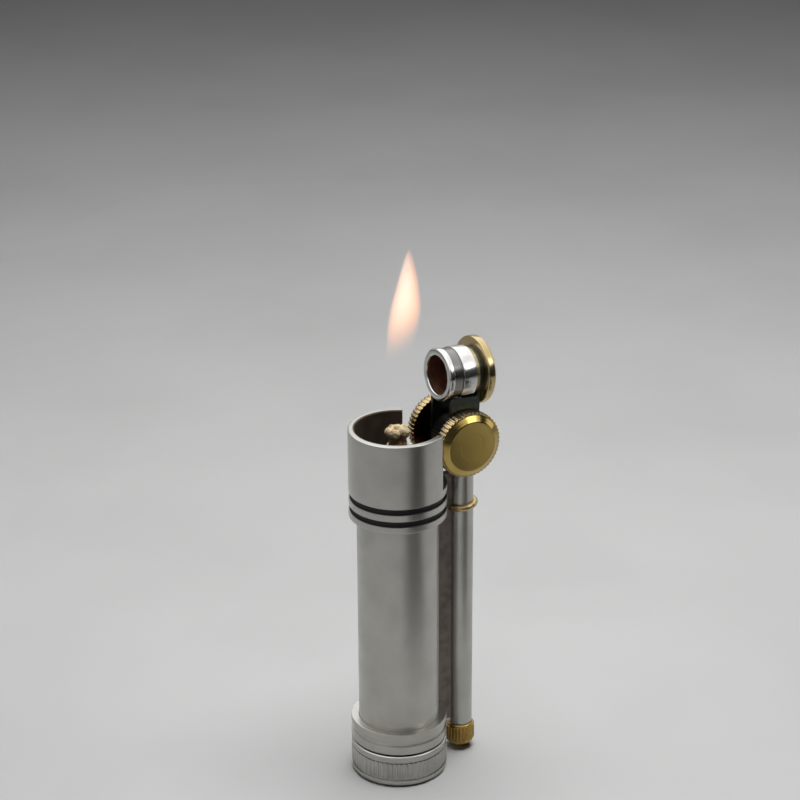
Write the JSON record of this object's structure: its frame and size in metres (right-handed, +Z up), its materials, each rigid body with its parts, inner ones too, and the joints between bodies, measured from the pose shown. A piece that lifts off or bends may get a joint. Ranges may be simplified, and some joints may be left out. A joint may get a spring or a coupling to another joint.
{
  "type": "pocket lighter",
  "caption": "Slim tubular petrol lighter: slotted chimney round a cotton wick, side flint tube with a thumb-wheel striker, and a snuffer cup on a swinging arm.",
  "frame": {"origin": "centre of the foot's flat resting face, on the fuel tube's axis", "axes": "+Z up the fuel tube, +X from the fuel tube towards the flint tube, Y along the striker's axle"},
  "size_m": [0.024, 0.016, 0.0747],
  "materials": {
    "satin_steel": "satin turned stainless steel",
    "plated_brass": "plain turned brass, darkened by heat",
    "polished_chrome": "bright polished nickel-chrome plate",
    "turned_brass": "turned and lacquered brass",
    "dark_steel": "blackened spring steel sheet",
    "hardened_steel": "hardened steel",
    "copper": "heat-stained copper",
    "flint_metal": "ferrocerium rod",
    "cotton": "twisted cotton",
    "felt": "pressed felt",
    "rubber": "flat nitrile washer"
  },
  "bodies": {
    "lighter_body": {"tank_tube": "satin_steel", "chimney": "satin_steel", "burner_plate": "plated_brass", "wick_tube": "plated_brass", "wick": "cotton", "wick_head": "cotton", "cotton_wadding": "cotton", "felt_pad": "felt", "tank_collar": "satin_steel", "tank_thread_ring": "plated_brass", "spine_rail": "satin_steel", "flint_tube": "satin_steel", "flint_tube_bead": "turned_brass", "wheel_fork": "satin_steel", "wave_washers": "hardened_steel"},
    "striker": {"axle": "hardened_steel", "spark_wheel": "hardened_steel", "thumb_wheel_front": "turned_brass", "thumb_wheel_back": "turned_brass"},
    "snuffer": {"snuffer_arm": "dark_steel", "snuffer_cup": "polished_chrome", "snuffer_liner": "copper", "snuffer_disc": "turned_brass", "snuffer_rivet": "hardened_steel"},
    "flint_follower": {"flint": "flint_metal", "flint_plunger": "turned_brass"},
    "foot_gasket": {"filler_gasket": "rubber"},
    "foot": {"filler_cap": "satin_steel"},
    "flint_coil": {"flint_spring": "hardened_steel"},
    "flint_plug": {"flint_screw": "turned_brass"}
  },
  "joints": [
    {"name": "striker_spin", "type": "hinge", "parent": "lighter_body", "child": "striker", "pos_m": [0.01045, 0, 0.05857], "axis": [0, 1, 0], "continuous": true},
    {"name": "snuffer_swing", "type": "hinge", "parent": "lighter_body", "child": "snuffer", "pos_m": [0.01045, 0, 0.05857], "axis": [0, 1, 0], "range_deg": [-93.33, 0], "deforming": ["wick_head"]},
    {"name": "flint_feed", "type": "slide", "parent": "lighter_body", "child": "flint_follower", "axis": [0, 0, 1], "range_m": [-0.0012, 0], "stiffness_N_per_m": 40, "springref_m": 0.0003, "deforming": ["flint_spring"]},
    {"name": "foot_travel", "type": "slide", "parent": "lighter_body", "child": "foot_gasket", "axis": [0, 0, -1], "range_m": [0, 0.003]},
    {"name": "foot_turn", "type": "hinge", "parent": "foot_gasket", "child": "foot", "pos_m": [0, 0, 0.003], "axis": [0, 0, -1], "range_deg": [0, 1440]},
    {"name": "flint_plug_travel", "type": "slide", "parent": "lighter_body", "child": "flint_coil", "axis": [0, 0, -1], "range_m": [0, 0.004], "deforming": ["flint_spring"]},
    {"name": "flint_plug_turn", "type": "hinge", "parent": "flint_coil", "child": "flint_plug", "pos_m": [0.01191, 0, 0.003], "axis": [0, 0, -1], "range_deg": [0, 2880]}
  ],
  "couplings": [
    {"joint": "foot_turn", "follows": "foot_travel", "rad_per_m": 8377.6},
    {"joint": "flint_plug_turn", "follows": "flint_plug_travel", "rad_per_m": 12566}
  ]
}
